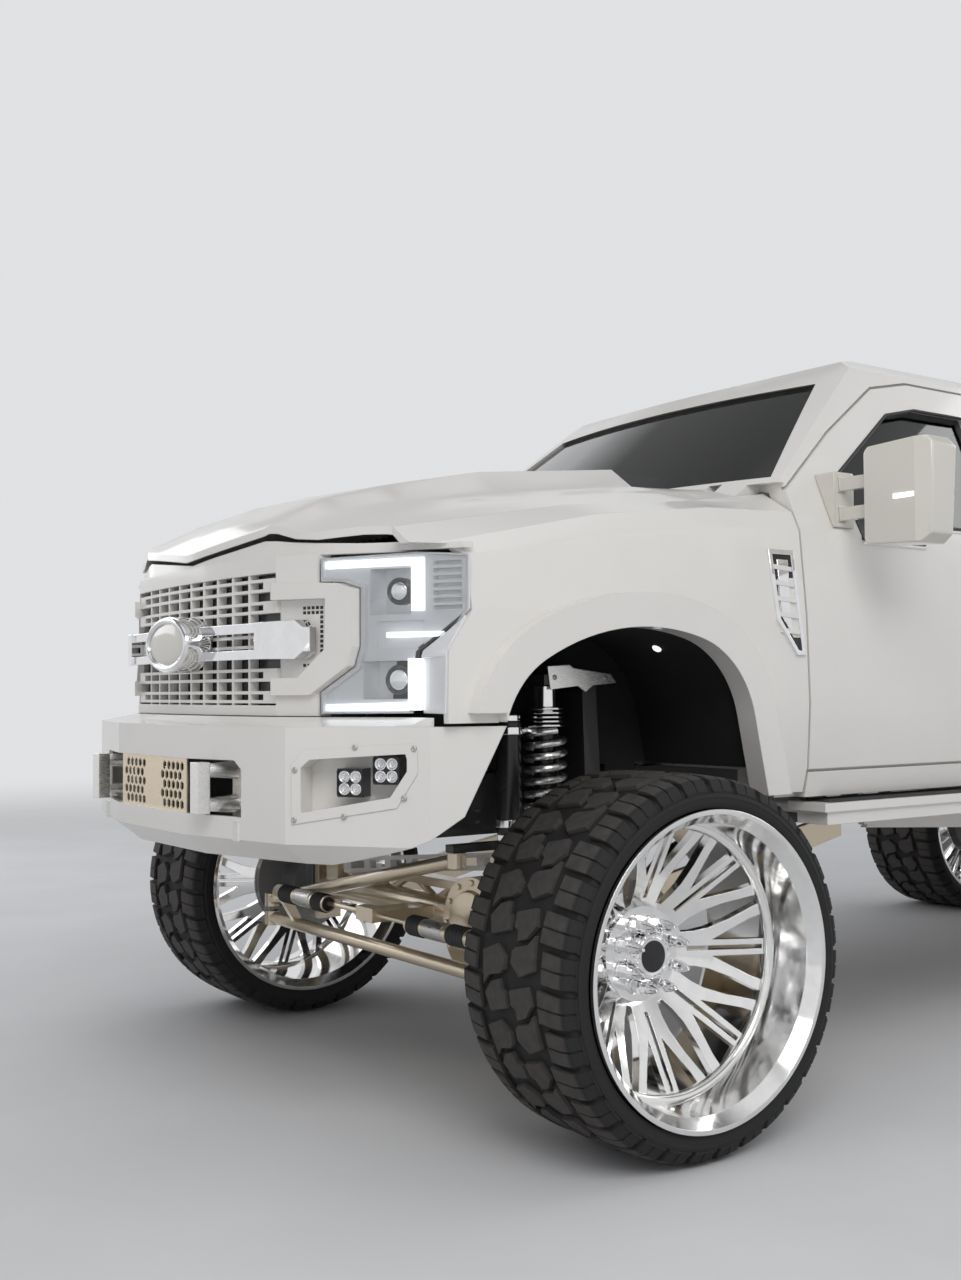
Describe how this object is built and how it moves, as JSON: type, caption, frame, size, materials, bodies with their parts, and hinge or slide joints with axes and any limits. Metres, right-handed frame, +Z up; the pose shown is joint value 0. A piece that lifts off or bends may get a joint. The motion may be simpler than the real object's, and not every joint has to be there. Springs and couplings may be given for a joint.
{
  "type": "pickup truck",
  "caption": "Lifted crew-cab pickup truck with deep-dish wheels, steered front axle, opening doors, hood and tailgate, and an open cargo bed.",
  "frame": {"origin": "centre of the bounding box in plan, on the ground under the tyres", "axes": "+X to the truck's left, +Y rearward along the truck, +Z up"},
  "size_m": [2.69, 6.378, 2.3279],
  "materials": {
    "body_white": "gloss white paint",
    "black_trim": "textured black",
    "dark_plastic": "gloss black",
    "chrome_trim": "mirror chrome",
    "polished_alloy": "polished",
    "tyre_rubber": "dull brown-black",
    "tinted_glass": "tinted",
    "clear_lamp": "clear lens",
    "red_lamp": "red lens",
    "gold_paint": "champagne gloss",
    "black_metal": "satin black",
    "cast_grey": "rough cast",
    "bare_steel": "brushed",
    "liner_felt": "rough black",
    "cabin_trim": "dark grey",
    "seat_cover": "dark leather",
    "lamp_housing": "frosted white",
    "lamp_light": "white light pipe",
    "mirror_case": "cream gloss"
  },
  "bodies": {
    "truck": {"bumper_hoops": "body_white", "bumper_plate": "black_trim", "cab_glass": "tinted_glass", "cab_shell": "body_white", "cargo_bed": "body_white", "coilovers": "gold_paint", "cross_members": "black_metal", "dashboard": "cabin_trim", "driveline": "black_metal", "engine": "cast_grey", "exhaust": "bare_steel", "frame": "black_metal", "front_axle": "gold_paint", "front_bumper": "body_white", "front_fenders": "body_white", "fuel_tank": "black_metal", "grille": "body_white", "grille_trim": "chrome_trim", "headlamps": "lamp_housing", "lamp_glass": "clear_lamp", "lamp_pods": "dark_plastic", "lamp_strips": "lamp_light", "leaf_springs": "black_metal", "radiator": "cast_grey", "radius_arms": "gold_paint", "rear_axle": "black_metal", "rear_bumper": "black_trim", "running_boards": "body_white", "seats": "seat_cover", "tail_lamps": "red_lamp", "track_bar": "body_white", "traction_bars": "body_white", "wheel_liners": "liner_felt"},
    "steer_left": {"knuckle_left": "cast_grey"},
    "steer_right": {"knuckle_right": "cast_grey"},
    "tie": {"tie_rod": "gold_paint"},
    "drag": {"drag_link": "gold_paint"},
    "pitman": {"pitman_arm": "black_metal"},
    "column_wheel": {"steering_wheel": "cabin_trim"},
    "wheel_front_left": {"rim_front_left": "polished_alloy", "tyre_front_left": "tyre_rubber"},
    "wheel_front_right": {"rim_front_right": "polished_alloy", "tyre_front_right": "tyre_rubber"},
    "wheel_rear_left": {"rim_rear_left": "polished_alloy", "tyre_rear_left": "tyre_rubber"},
    "wheel_rear_right": {"rim_rear_right": "polished_alloy", "tyre_rear_right": "tyre_rubber"},
    "front_door_left": {"door_front_left": "body_white", "glass_front_left": "tinted_glass", "mirror_left": "mirror_case"},
    "rear_door_left": {"door_rear_left": "body_white", "glass_rear_left": "tinted_glass"},
    "front_door_right": {"door_front_right": "body_white", "glass_front_right": "tinted_glass", "mirror_right": "mirror_case"},
    "rear_door_right": {"door_rear_right": "body_white", "glass_rear_right": "tinted_glass"},
    "bonnet": {"hood": "body_white"},
    "gate": {"tailgate": "body_white"}
  },
  "joints": [
    {"name": "steer_left_turn", "type": "hinge", "parent": "truck", "child": "steer_left", "pos_m": [0.785, -2.191, 0.485], "axis": [0, 0, 1], "range_deg": [-25, 25]},
    {"name": "steer_right_turn", "type": "hinge", "parent": "truck", "child": "steer_right", "pos_m": [-0.785, -2.191, 0.485], "axis": [0, 0, 1], "range_deg": [-25, 25]},
    {"name": "tie_rod_pivot", "type": "hinge", "parent": "steer_left", "child": "tie", "pos_m": [0.785, -2.381, 0.375], "axis": [0, 0, 1], "range_deg": [-25, 25]},
    {"name": "drag_link_pivot", "type": "hinge", "parent": "steer_right", "child": "drag", "pos_m": [-0.785, -2.381, 0.4393], "axis": [0, 0, 1], "range_deg": [-25, 25]},
    {"name": "pitman_turn", "type": "hinge", "parent": "truck", "child": "pitman", "pos_m": [0.395, -2.191, 0.73], "axis": [0, 0, 1], "range_deg": [-25, 25]},
    {"name": "steering_wheel_turn", "type": "hinge", "parent": "truck", "child": "column_wheel", "pos_m": [0.43, -1.071, 1.6], "axis": [0, 0.9063, 0.4226], "range_deg": [-400, 400]},
    {"name": "wheel_front_left_roll", "type": "hinge", "parent": "steer_left", "child": "wheel_front_left", "pos_m": [0.785, -2.191, 0.485], "axis": [1, 0, 0], "continuous": true},
    {"name": "wheel_front_right_roll", "type": "hinge", "parent": "steer_right", "child": "wheel_front_right", "pos_m": [-0.785, -2.191, 0.485], "axis": [1, 0, 0], "continuous": true},
    {"name": "wheel_rear_left_roll", "type": "hinge", "parent": "truck", "child": "wheel_rear_left", "pos_m": [0.8, 1.868, 0.485], "axis": [1, 0, 0], "continuous": true},
    {"name": "wheel_rear_right_roll", "type": "hinge", "parent": "truck", "child": "wheel_rear_right", "pos_m": [-0.8, 1.868, 0.485], "axis": [1, 0, 0], "continuous": true},
    {"name": "front_door_left_hinge", "type": "hinge", "parent": "truck", "child": "front_door_left", "pos_m": [1.018, -1.557, 1.3], "axis": [0, 0, -1], "range_deg": [0, 65]},
    {"name": "rear_door_left_hinge", "type": "hinge", "parent": "truck", "child": "rear_door_left", "pos_m": [1.018, -0.402, 1.3], "axis": [0, 0, -1], "range_deg": [0, 65]},
    {"name": "front_door_right_hinge", "type": "hinge", "parent": "truck", "child": "front_door_right", "pos_m": [-1.018, -1.557, 1.3], "axis": [0, 0, 1], "range_deg": [0, 65]},
    {"name": "rear_door_right_hinge", "type": "hinge", "parent": "truck", "child": "rear_door_right", "pos_m": [-1.018, -0.402, 1.3], "axis": [0, 0, 1], "range_deg": [0, 65]},
    {"name": "bonnet_hinge", "type": "hinge", "parent": "truck", "child": "bonnet", "pos_m": [0, -1.601, 1.752], "axis": [-1, 0, 0], "range_deg": [0, 42]},
    {"name": "gate_hinge", "type": "hinge", "parent": "truck", "child": "gate", "pos_m": [0, 3.028, 1.15], "axis": [-1, 0, 0], "range_deg": [0, 90]}
  ],
  "couplings": [
    {"joint": "steer_right_turn", "follows": "steer_left_turn", "ratio": 1},
    {"joint": "tie_rod_pivot", "follows": "steer_left_turn", "ratio": -1},
    {"joint": "drag_link_pivot", "follows": "steer_left_turn", "ratio": -1},
    {"joint": "pitman_turn", "follows": "steer_left_turn", "ratio": 1},
    {"joint": "steering_wheel_turn", "follows": "steer_left_turn", "ratio": 16}
  ]
}
